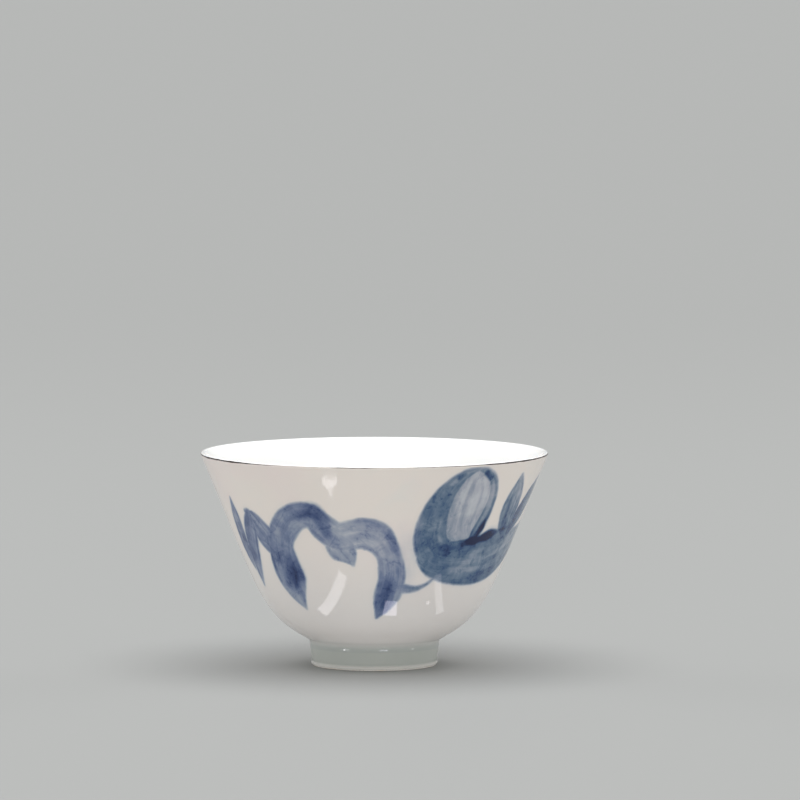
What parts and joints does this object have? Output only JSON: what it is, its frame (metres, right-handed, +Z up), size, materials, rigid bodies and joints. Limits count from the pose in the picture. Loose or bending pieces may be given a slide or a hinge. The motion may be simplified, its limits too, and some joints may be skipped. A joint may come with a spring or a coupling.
{
  "type": "tea cup",
  "caption": "Handleless flared porcelain tea cup on a foot ring, glazed inside and out, with a brown lip line.",
  "frame": {"origin": "centre of the foot's standing ring, on the surface the cup stands on", "axes": "+Z up along the cup's axis of revolution"},
  "size_m": [0.085, 0.085, 0.0524],
  "materials": {
    "bare_porcelain": "unglazed, smooth matt biscuit",
    "glazed_porcelain": "clear gloss glaze over white porcelain, with cobalt brushwork under it",
    "white_glaze": "clear gloss glaze over white porcelain",
    "iron_wash": "thin brown iron wash under gloss glaze"
  },
  "bodies": {
    "root": {"porcelain_bowl": "bare_porcelain", "foot_ring": "bare_porcelain", "outer_glaze": "glazed_porcelain", "inner_glaze": "white_glaze", "base_glaze": "glazed_porcelain", "rim_line": "iron_wash"}
  },
  "joints": []
}
